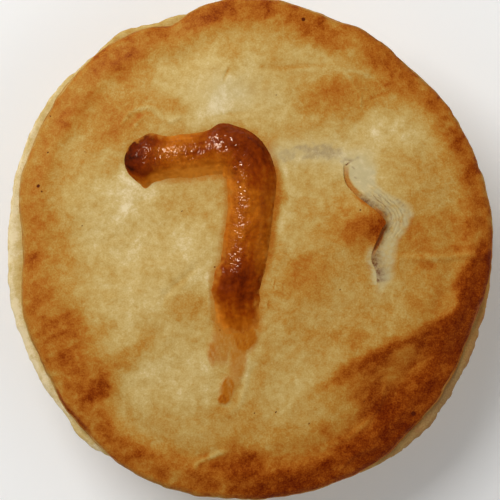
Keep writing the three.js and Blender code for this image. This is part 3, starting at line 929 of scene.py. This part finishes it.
def bareTear(sheet, tear):
    # pale bare layers, with a browned crust along the upper part of the lip
    x, y, toLip, along = sheet.x, sheet.y, tear.toLip, tear.along
    frayedX, frayedY = partWay(x, sheet.frayedX, 0.4), partWay(y, sheet.frayedY, 0.4)
    toPale, _, sidePale = alongPath(frayedX, frayedY, smoothPath(lid["tearPale"]))
    widest = lid["bareWidest"]
    bare = smoothStep(-sidePale * toPale, *lid["bareEdge"]) * tear.inside
    bare = bare * (toLip < widest) * (toPale < widest) * within(along, *lid["bareStretch"])
    crust = smoothStep(toLip, *lid["crustEdge"]) * tear.inside * within(along, *lid["crustStretch"])
    sheet.flour += bare * (1 - crust) * patchy(x, y, 0.7, lid["bareFlour"])
    sheet.browning += lid["crustBy"] * crust + lid["bareBy"] * bare
    # edges of the layers, and cracks that come and go
    waver = uneven(x, y, sheet.flat, lid["layerWaver"])
    layers = np.sin(2 * math.pi * (toLip + waver) / lid["layerStep"]) * bare
    layersAt, layersSpread = lid["layerPlace"]
    layers = layers * bell(along - layersAt, layersSpread) * smoothStep(toLip, 0.8, 2)
    sheet.top -= lid["layerDepth"] * layers
    sheet.stain += lid["layerStain"] * np.maximum(0, layers)
    broken = patchy(x, y, 0.9, lid["crackGaps"])
    for strength, points in lid["tearCracks"]:
        distance, _, _ = alongPath(x, y, smoothPath(points))
        crack = strength * bell(distance, lid["crackWidth"]) * broken
        sheet.top -= lid["crackDepth"] * crack
        sheet.stain = np.maximum(sheet.stain, crack)


def stainTear(sheet, tear):
    x, y, toLip, along, shallow = sheet.x, sheet.y, tear.toLip, tear.along, tear.shallow
    # dried gravy
    smeared = sum(bell(along - where, spread) for where, spread in lid["gravy"])
    blotches = 0.95 + uneven(x, y, sheet.flat, lid["gravyBlotches"])
    width, wider = lid["gravyWidth"]
    gravy = np.clip(tear.floor * smeared * blotches * bell(toLip, width + wider * shallow), 0, 1)
    sheet.stain = np.maximum(sheet.stain, lid["gravyBy"] * gravy)
    sheet.flour *= 1 - 0.2 * gravy
    # pale fringe on the lip's side of the scratched end
    beside = tear.onLip * (along < 0.999) * shallow
    paler, fade = lid["fringePaler"]
    sheet.browning -= paler * beside * np.exp(-toLip / fade)
    distance, spread, dusted = lid["fringe"]
    fringe = beside * bell(toLip - distance, spread) * sheet.onTop
    sheet.flour += dusted * fringe * patchy(x, y, 0.7, lid["fringeGaps"])
    # browning under the lip, partly its browned underside and partly painted shade, with a break
    shadeStart, shadeEnd = lid["underLipShadeStretch"]
    widerAt, widerSpread = lid["underLipShadeWider"]
    breakAt, breakSpread = lid["underLipShadeBreak"]
    gap = smoothStep(toLip, 1.0, 0.6) * smoothStep(along, *shadeStart)
    gap = gap + smoothStep(toLip, 1.4, 0.7) * bell(along - widerAt, widerSpread)
    gap = np.clip(tear.floor * gap * (1 - 0.7 * bell(along - breakAt, breakSpread)), 0, 1)
    gap = gap * smoothStep(along, *shadeEnd)
    sheet.flour *= 1 - 0.9 * gap
    sheet.stain *= 1 - gap
    sheet.browning += lid["underLipShadeBy"] * gap
    # browned tip of the lip, and a browned line along its upper part
    blushX, blushY = partWay(x, sheet.raggedX, 0.5), partWay(y, sheet.raggedY, 0.5)
    tipX, tipY, tipSpread = lid["lipTip"]
    blushBy, tipBy, lineBy = lid["lipBrowning"]
    blush = blushBy * ellipse(blushX, blushY, *lid["lipBlush"])
    blush += tipBy * bell(np.hypot(x - tipX, y - tipY), tipSpread)
    line = bell(toLip - 0.35, 0.4) * within(along, *lid["lipLine"])
    sheet.browning += (blush + lineBy * line) * tear.onLip


def dustLid(sheet):
    # flour, the dull smudge in its pale trail, and burnt specks
    for *oval, strength in lid["flour"]:
        sheet.flour += strength * ellipse(sheet.raggedX, sheet.raggedY, *oval)
    smudge = strongestOval(sheet.frayedX, sheet.frayedY, lid["smudges"], 0.15, 0.7)
    smudge = smudge * patchy(sheet.x, sheet.y, 0.75, lid["smudgeGaps"])
    toTrail, _, _ = alongPath(sheet.frayedX, sheet.frayedY, smoothPath(lid["trail"]))
    dusted, dustedSpread = lid["trailFlour"]
    paler, palerSpread = lid["trailPaler"]
    sheet.flour += lid["smudgeFlour"] * smudge + dusted * bell(toTrail, dustedSpread)
    sheet.stain += lid["smudgeStain"] * smudge
    sheet.browning -= paler * bell(toTrail, palerSpread)
    for speckX, speckY, radius in lid["specks"]:
        near = 1 - np.hypot(sheet.x - speckX, sheet.y - speckY) / (2 * radius)
        sheet.speck = np.maximum(sheet.speck, near)


def glazeLid(sheet):
    # browned halo along the mark's outer side
    x, y, flat = sheet.x, sheet.y, sheet.flat
    toMark, along, sideMark = alongPath(x, y, smoothPath(mark["path"]))
    outside = sideMark > 0
    gap = toMark - markReach(along, outside)
    width, fade = lid["haloWidth"]
    halo = outside * bell(np.maximum(0, gap - width), fade) * within(along, *lid["haloStretch"])
    haloBy, closeBy = lid["haloBrowning"]
    sheet.browning += (haloBy * halo + closeBy * bell(np.maximum(0, gap), 0.8)) * (gap < 4)
    sheet.stain += lid["haloStain"] * halo
    # thin glaze that ran out below it and soaked in beside it
    smearX, smearY = partWay(x, sheet.frayedX, 0.45), partWay(y, sheet.frayedY, 0.45)
    glaze = strongestOval(smearX, smearY, lid["smears"], 0.08, 0.75)
    glaze = glaze * (0.8 + uneven(x * 2 + y * 0.7, y * 0.4, flat, lid["smearStreaks"]))
    sheet.top += lid["smearHeight"] * np.minimum(1, glaze) * sheet.onTop
    soaked = bell(np.maximum(0, gap + uneven(x, y, flat, lid["soakWaver"])), 0.8) * (gap < 3)
    fromBoth, fromOuter = lid["soakFrom"]
    soaked = soaked * smoothStep(along, *fromBoth) * np.where(outside, smoothStep(along, *fromOuter), 1)
    sheet.glaze = np.maximum(glaze, np.where(outside, *lid["soaked"]) * soaked)


def buildLid():
    mesh = lidDisc()
    sheet = layLid(mesh)
    wrinkleLid(sheet)
    brownLid(sheet)
    tear = tearLid(sheet)
    bareTear(sheet, tear)
    stainTear(sheet, tear)
    dustLid(sheet)
    glazeLid(sheet)

    top, bottom = sheet.top, sheet.bottom
    height = np.where(sheet.onTop, top, bottom + (top - bottom) * (1 + np.sin(sheet.edgeTurn)) / 2)
    _, tuckX, tuckY = lid["tearTuck"]
    writePoints(mesh, sheet.x + tuckX * sheet.tuck, sheet.y + tuckY * sheet.tuck, height)
    tone, swings = lid["edgeTone"]
    edgeTone = tone + swings * np.sin(sheet.level * lid["edgeLayers"][1])
    layered = sheet.onEdge & (sheet.level > lid["crustLoops"])
    browning = np.where(layered, partWay(sheet.browning, edgeTone, 0.5), sheet.browning)
    ease = lid["darkEase"]
    slowing = np.exp(np.minimum(0, (lid["darkest"] - ease - browning) / ease))
    browning = np.minimum(browning, lid["darkest"] - ease * slowing)
    writeValues(mesh, "browning", np.clip(browning, 0, 1))
    writeValues(mesh, "flour", np.clip(sheet.flour, 0, 1))
    writeValues(mesh, "stain", np.clip(sheet.stain, 0, 1))
    writeValues(mesh, "speck", np.where(sheet.level < lid["crustLoops"], sheet.speck, 0))
    writeValues(mesh, "glaze", np.clip(sheet.glaze, 0, 2))
    return mesh


# The piped mark: browned glossy batter, thick along its middle, blistered on top.
mark = {
    "path": [
        (-29.7, 20.7), (-22, 21.2), (-14, 22.2), (-7.7, 22.9), (-4.8, 22.7), (-2.3, 21.2), (-0.7, 18.8),
        (-0.2, 15.9), (0, 8), (-1.4, -2.4), (-3.1, -10), (-2.9, -16.5), (-1.3, -23.2),
    ],
    "pathSteps": 24,
    "halfWidth": 5.3,
    "height": 2.7,
    "crown": 1.8,  # power of its section: higher has thinner skirts
    "innerCrown": 2.6,  # on the inner side of the bar
    "sink": 0.1,  # into the lid
    "underDrop": 0.45,
    # where it spreads, on its outer and its inner side: share along, spread, by
    "outerSwells": [
        (0.09, 0.035, 1.3), (0.312, 0.025, 1.0), (0.37, 0.06, 1.5), (0.47, 0.06, 1.0), (0.83, 0.03, 0.4),
    ],
    "innerSwells": [
        (0.064, 0.018, 1.3), (0.13, 0.04, -0.4), (0.37, 0.05, 0.5), (0.64, 0.06, 0.35), (0.772, 0.022, 0.8),
        (0.815, 0.025, 0.7), (0.985, 0.045, -4.0),
    ],
    # shares along it
    "head": 0.065,
    "tail": 0.09,
    "tailFrom": (0.86, 1),  # where it frays into runs
    "runsOut": (1.02, 0.74),  # where it is gone, and where it has its full height
    "innerBar": [(0.2, 0.7), (0.4, 0.32)],  # across and along, where the bar's inner side is
    "bend": (0.36, 0.13),  # and its spread
    "lumpsFull": 1.5,  # height from which they are full
    "sides": 120,
    "topShare": 0.82,  # share of the sides that lie on top
    "steps": 640,
    # unevenness: strength, size, octaves, place in the noise
    "edgeFray": (1, 2.2, 3, 21.0),
    "edgeFrayBy": (0.16, 0.5),  # all along, and what the tail adds
    "tailRuns": (1.6, 2.4, 3, 25.0),
    "lumps": [(0.4, 4.5, 3, 3.0), (0.08, 1.1, 2, 8.0)],
    "blisterSwell": (0.7, 1.8, 2, 71.0),
    "blisterSize": 0.38,
    "blisterHeight": 0.25,
    "stops": [
        (0.0, shade(50, 15, 4)),
        (0.2, shade(96, 28, 0)),
        (0.42, shade(130, 50, 1)),
        (0.62, shade(156, 77, 6)),
        (0.82, shade(184, 101, 18)),
        (1.0, shade(204, 124, 34)),
    ],
    "roast": 0.55,
    "edgeRoasts": (-0.12, 0.26, 0.22),  # towards the outer edge, at the inner edge and at the tail's edges
    # darker and lighter stretches, two of them painted highlight: share along, spread, across (1 outer edge,
    # -1 inner edge), spread, by
    "roastsAndSheen": [
        (0.0, 0.08, 0, 2.0, -0.55), (0.2, 0.08, 1.0, 0.45, 0.42), (0.2, 0.1, 0, 2.0, 0.05),
        (0.38, 0.08, 0.5, 0.8, -0.2), (0.6, 0.1, 0.3, 0.8, 0.08), (0.785, 0.07, 0.1, 1.3, -0.36),
        (1.0, 0.09, 0, 2.0, 0.06), (0.2, 0.1, -0.6, 0.5, 0.14), (0.29, 0.05, 0.75, 0.45, -0.15),
        (0.12, 0.05, -0.35, 0.3, -0.13), (0.12, 0.05, -0.95, 0.25, 0.15), (0.7, 0.15, 0.9, 0.4, 0.2),
        (0.8, 0.07, 0.6, 0.4, 0.14), (0.47, 0.08, 0.8, 0.4, 0.08), (0.6, 0.16, -0.95, 0.3, -0.16),
        # (0.5, 0.07, -0.4, ...) and (0.14, 0.04, 0.0, ...) lighten the densest glossy places: painted
        # highlight
        (0.84, 0.05, -0.9, 0.3, -0.12), (0.5, 0.07, -0.4, 0.3, 0.12), (0.14, 0.04, 0.0, 0.35, 0.12),
        (0.95, 0.05, 0.2, 0.6, 0.1),
    ],
    "roastClouds": (0.1, 5, 3, 15.0),
    "roastStreaks": (0.15, 1.0, 3, 5.0),
    "thinColour": shade(180, 112, 36),  # where the pastry shows through
    "thinBy": (0.75, 0.8),  # along the edges, and what the tail adds
    "thinFray": (0.25, 1.6, 3, 61.0),
    "thinEnd": (0.03, 1.6, 3, 63.0),
    "thinTail": (0.3, 1.4, 3, 65.0),
    # glossy places: share along, spread, across, spread, strength
    "glosses": [
        (0.1, 0.04, 0.2, 0.5, 1.0), (0.19, 0.07, 0.2, 0.5, 1.0), (0.32, 0.05, 0.35, 0.5, 1.0),
        (0.4, 0.04, -0.1, 0.5, 0.9), (0.5, 0.09, -0.4, 0.5, 1.0), (0.62, 0.07, -0.4, 0.4, 0.8),
        (0.71, 0.05, -0.3, 0.5, 0.8), (0.56, 0.16, 0.45, 0.2, 0.3),
    ],
    "glossGaps": (0.6, 3, 2, 51.0),
    "flecks": {"Scale": 1000, "Detail": 1},
    "mottle": {"Scale": 420, "Detail": 3},
    "unevenness": 0.3,
    "rough": (0.4, 0.3),  # at its smoothest, and what the mottle adds
    "relief": 0.4,
    "reliefDepth": 0.12,
    "coatRough": 0.12,
    "specular": 0.03,
}


def markReach(share, outside):
    # half width of the mark at a share along it, on its outer or its inner side
    outer = sum(by * bell(share - where, spread) for where, spread, by in mark["outerSwells"])
    inner = sum(by * bell(share - where, spread) for where, spread, by in mark["innerSwells"])
    head = np.sqrt(1 - (1 - np.minimum(1, share / mark["head"])) ** 2)
    tail = np.sqrt(1 - (1 - np.minimum(1, (1 - share) / mark["tail"])) ** 2)
    return (mark["halfWidth"] + np.where(outside, outer, inner)) * head * tail


def layMark(mesh):
    # a ball drawn out along the path; across runs from 1 at the outer edge to -1 at the inner one
    ballX, ballY, ballZ = readPoints(mesh).T
    share = np.clip((1 - ballZ) / 4 + np.arccos(np.clip(ballZ, -1, 1)) / (2 * math.pi), 0, 1)
    around = np.arctan2(ballY, ballX) / (2 * math.pi) % 1
    topShare = mark["topShare"]
    below = 1 + (around - topShare) / (1 - topShare)
    around = math.pi * np.where(around <= topShare, around / topShare, below)
    across = np.cos(around)

    path = smoothPath(mark["path"], mark["pathSteps"])
    lengths = np.concatenate([[0], np.cumsum(np.hypot(*np.diff(path, axis=0).T))])
    at = share * lengths[-1]
    middleX, middleY = [np.interp(at, lengths, line) for line in path.T]
    headX, headY = [np.interp(at, lengths, np.gradient(line, lengths)) for line in path.T]
    size = np.hypot(headX, headY)
    headX, headY = headX / size, headY / size
    aside = markReach(share, across > 0) * across
    x = middleX - headY * aside
    y = middleY + headX * aside
    # its edges are frayed, and its tail ends in runs
    flat = 0 * x
    atTail = smoothStep(share, *mark["tailFrom"])
    frayAll, frayTail = mark["edgeFrayBy"]
    fray = (frayAll + frayTail * atTail) * uneven(x, y, flat, mark["edgeFray"]) * abs(across)
    run = uneven(aside, flat, flat, mark["tailRuns"]) * atTail
    x = x - headY * fray + headX * run
    y = y + headX * fray + headY * run
    over = np.maximum(0, np.sin(around))
    return SimpleNamespace(x=x, y=y, flat=flat, share=share, across=across, at=at, over=over)


def raiseMark(mesh, strip):
    x, y, share, across = strip.x, strip.y, strip.share, strip.across
    strip.shine = np.zeros_like(x)
    for where, spread, side, sideSpread, strength in mark["glosses"]:
        gloss = strength * bell(share - where, spread) * bell(across - side, sideSpread)
        strip.shine = np.maximum(strip.shine, gloss)
    width = (markReach(share, True) + markReach(share, False)) / 2 / mark["halfWidth"]
    thinning = smoothStep(share, *mark["runsOut"])
    barAcross, barAlong = mark["innerBar"]
    innerBar = smoothStep(-across, *barAcross) * smoothStep(share, *barAlong)
    crown = partWay(mark["crown"], mark["innerCrown"], innerBar)
    strip.rise = mark["height"] * width * thinning * strip.over**crown
    swollen = np.clip(0.9 + uneven(x, y, strip.flat, mark["blisterSwell"]), 0.3, 1.5)
    swollen = swollen * np.clip(0.2 + 1.4 * strip.shine, 0, 1)
    lumps = mark["blisterHeight"] * swollen * blisters(x, y, mark["blisterSize"])
    for layer in mark["lumps"]:
        lumps += uneven(x, y, strip.flat, layer)
    z = lidTop(x, y) - mark["sink"] + strip.rise + lumps * np.minimum(1, strip.rise / mark["lumpsFull"])
    writePoints(mesh, x, y, z - mark["underDrop"] * (strip.over <= 1e-6))


def colourMark(mesh, strip):
    x, y, flat, share, across = strip.x, strip.y, strip.flat, strip.share, strip.across
    innerEdge = smoothStep(-across, 0.4, 0.95) * (1 - 0.75 * bell(share - 0.78, 0.12))
    outerBy, innerBy, tailBy = mark["edgeRoasts"]
    roast = mark["roast"] + outerBy * across + innerBy * innerEdge
    # two of these lighten the densest glossy places as painted highlight
    for where, spread, side, sideSpread, by in mark["roastsAndSheen"]:
        roast += by * bell(share - where, spread) * bell(across - side, sideSpread)
    roast += tailBy * smoothStep(abs(across), 0.7, 1) * smoothStep(share, 0.8, 0.9)
    roast += uneven(x, y, flat, mark["roastClouds"])
    roast += uneven(across * 4, strip.at / 7, flat, mark["roastStreaks"])  # drawn out along it
    writeValues(mesh, "roast", np.clip(roast, 0, 1))
    # its edges thin out, most of all at its tail, but not round the outside of the bend
    frayed = abs(across) + uneven(x, y, flat, mark["thinFray"])
    bendAt, bendSpread = mark["bend"]
    bend = bell(share - bendAt, bendSpread) * smoothStep(across, 0, 0.5)
    thinAll, thinTail = mark["thinBy"]
    thin = thinTail * smoothStep(frayed, 0.65, 1.05) * smoothStep(share, 0.82, 0.92)
    thin = thin + thinAll * smoothStep(frayed, 0.8, 1.08) * (1 - 0.9 * bend)
    thin = np.maximum(thin, smoothStep(share + uneven(x, y, flat, mark["thinEnd"]), 0.965, 1.03))
    low = smoothStep(strip.rise + uneven(x, y, flat, mark["thinTail"]), 0.6, 0.05)
    thin = np.maximum(thin, low * smoothStep(share, 0.84, 0.9))
    writeValues(mesh, "thin", np.clip(thin, 0, 1))
    writeValues(mesh, "shine", strip.shine * patchy(x, y, 0.8, mark["glossGaps"]))


def buildMark():
    bm = bmesh.new()
    bmesh.ops.create_uvsphere(bm, u_segments=mark["sides"], v_segments=mark["steps"], radius=1)
    mesh = meshFrom("pieMark", bm)
    strip = layMark(mesh)
    raiseMark(mesh, strip)
    colourMark(mesh, strip)
    return mesh


def makeMarkMaterial():
    material, tree, shader = newMaterial("brownedBatter")
    flecks = grainNode(tree, mark["flecks"])
    mottle = grainNode(tree, mark["mottle"])
    roast = calc(tree, "ADD", stored(tree, "roast"), swing(tree, mottle, mark["unevenness"]))
    roast = calc(tree, "ADD", roast, swing(tree, flecks, mark["unevenness"]), clamp=True)
    colour = blendColours(tree, stored(tree, "thin"), ramp(tree, roast, mark["stops"]), mark["thinColour"])
    tree.links.new(colour, shader.inputs["Base Color"])
    smoothest, rougher = mark["rough"]
    rough = calc(tree, "ADD", calc(tree, "MULTIPLY", mottle, rougher), smoothest)
    tree.links.new(rough, shader.inputs["Roughness"])
    relief = addNode(tree, "Bump", {
        "Height": flecks,
        "Strength": mark["relief"],
        "Distance": mark["reliefDepth"] * mm,
    })
    tree.links.new(relief.outputs["Normal"], shader.inputs["Normal"])
    tree.links.new(stored(tree, "shine"), shader.inputs["Coat Weight"])
    shader.inputs["Coat Roughness"].default_value = mark["coatRough"]
    shader.inputs["Specular IOR Level"].default_value = mark["specular"]
    return material


addPiece(buildBase(), makePastryMaterial("basePastry", base, False), "pastry_base")
addPiece(buildLid(), makePastryMaterial("lidPastry", lid, True), "pastry_lid")
addPiece(buildMark(), makeMarkMaterial(), "piped_mark")

# Floor, light and camera, in metres.
studio = {
    "floorSize": 3.0,
    "floorColour": (0.9, 0.9, 0.89, 1),
    "floorRough": 0.9,
    "lens": 150,
    "sensor": 36,
    "cameraHeight": 0.528,
    "aim": (0, 0, 0.03),  # what the lights point at
    # soft lights, and one small warm lamp for the highlights: name, place, size, power, colour, highlights
    "lights": [
        ("key", (-0.34, 0.38, 0.62), 0.5, 5.2, (1, 1, 1), False),
        ("fill", (0.5, -0.2, 0.5), 0.6, 1.0, (1, 1, 1), False),
        ("glint", (-0.35, 0.34, 0.45), 0.24, 5.6, (1, 0.82, 0.62), True),
    ],
    # brightness of the surrounding room from the horizon up to straight above, where it is dark
    "room": [(0.0, 0.42), (0.72, 0.42), (0.93, 0.06), (1.0, 0.05)],
    "mirrored": 0.15,  # share of it that glossy things mirror
}


def layFloor():
    bm = bmesh.new()
    bmesh.ops.create_grid(bm, x_segments=1, y_segments=1, size=studio["floorSize"] / 2)
    mesh = meshFrom("floor", bm)
    material, _, shader = newMaterial("paleFloor")
    shader.inputs["Base Color"].default_value = studio["floorColour"]
    shader.inputs["Roughness"].default_value = studio["floorRough"]
    mesh.materials.append(material)
    floor = bpy.data.objects.new("floor", mesh)
    bpy.context.collection.objects.link(floor)


def hangLights():
    for name, place, size, power, colour, highlights in studio["lights"]:
        light = bpy.data.lights.new(name, "AREA")
        light.size = size
        light.energy = power
        light.color = colour
        lamp = bpy.data.objects.new(name, light)
        lamp.location = place
        lamp.visible_glossy = highlights
        lamp.visible_diffuse = not highlights
        lamp.rotation_euler = (Vector(studio["aim"]) - Vector(place)).to_track_quat("-Z", "Y").to_euler()
        bpy.context.collection.objects.link(lamp)


def paintRoom():
    world = bpy.data.worlds.new("studio")
    world.use_nodes = True
    tree = world.node_tree
    background = tree.nodes["Background"]
    heading = addNode(tree, "SeparateXYZ", {0: addNode(tree, "TexCoord").outputs["Generated"]}).outputs["Z"]
    room = ramp(tree, heading, [(place, (light, light, light, 1)) for place, light in studio["room"]])
    tree.links.new(room, background.inputs["Color"])
    glossy = addNode(tree, "LightPath").outputs["Is Glossy Ray"]
    strength = calc(tree, "SUBTRACT", 1, calc(tree, "MULTIPLY", glossy, 1 - studio["mirrored"]))
    tree.links.new(strength, background.inputs["Strength"])
    bpy.context.scene.world = world


def placeCamera():
    lens = bpy.data.cameras.new("camera")
    lens.lens = studio["lens"]
    lens.sensor_width = studio["sensor"]
    camera = bpy.data.objects.new("camera", lens)
    camera.location = (0, 0, studio["cameraHeight"])
    bpy.context.collection.objects.link(camera)
    bpy.context.scene.camera = camera
    bpy.context.scene.view_settings.view_transform = "Standard"


layFloor()
hangLights()
paintRoom()
placeCamera()
print("studio ready")
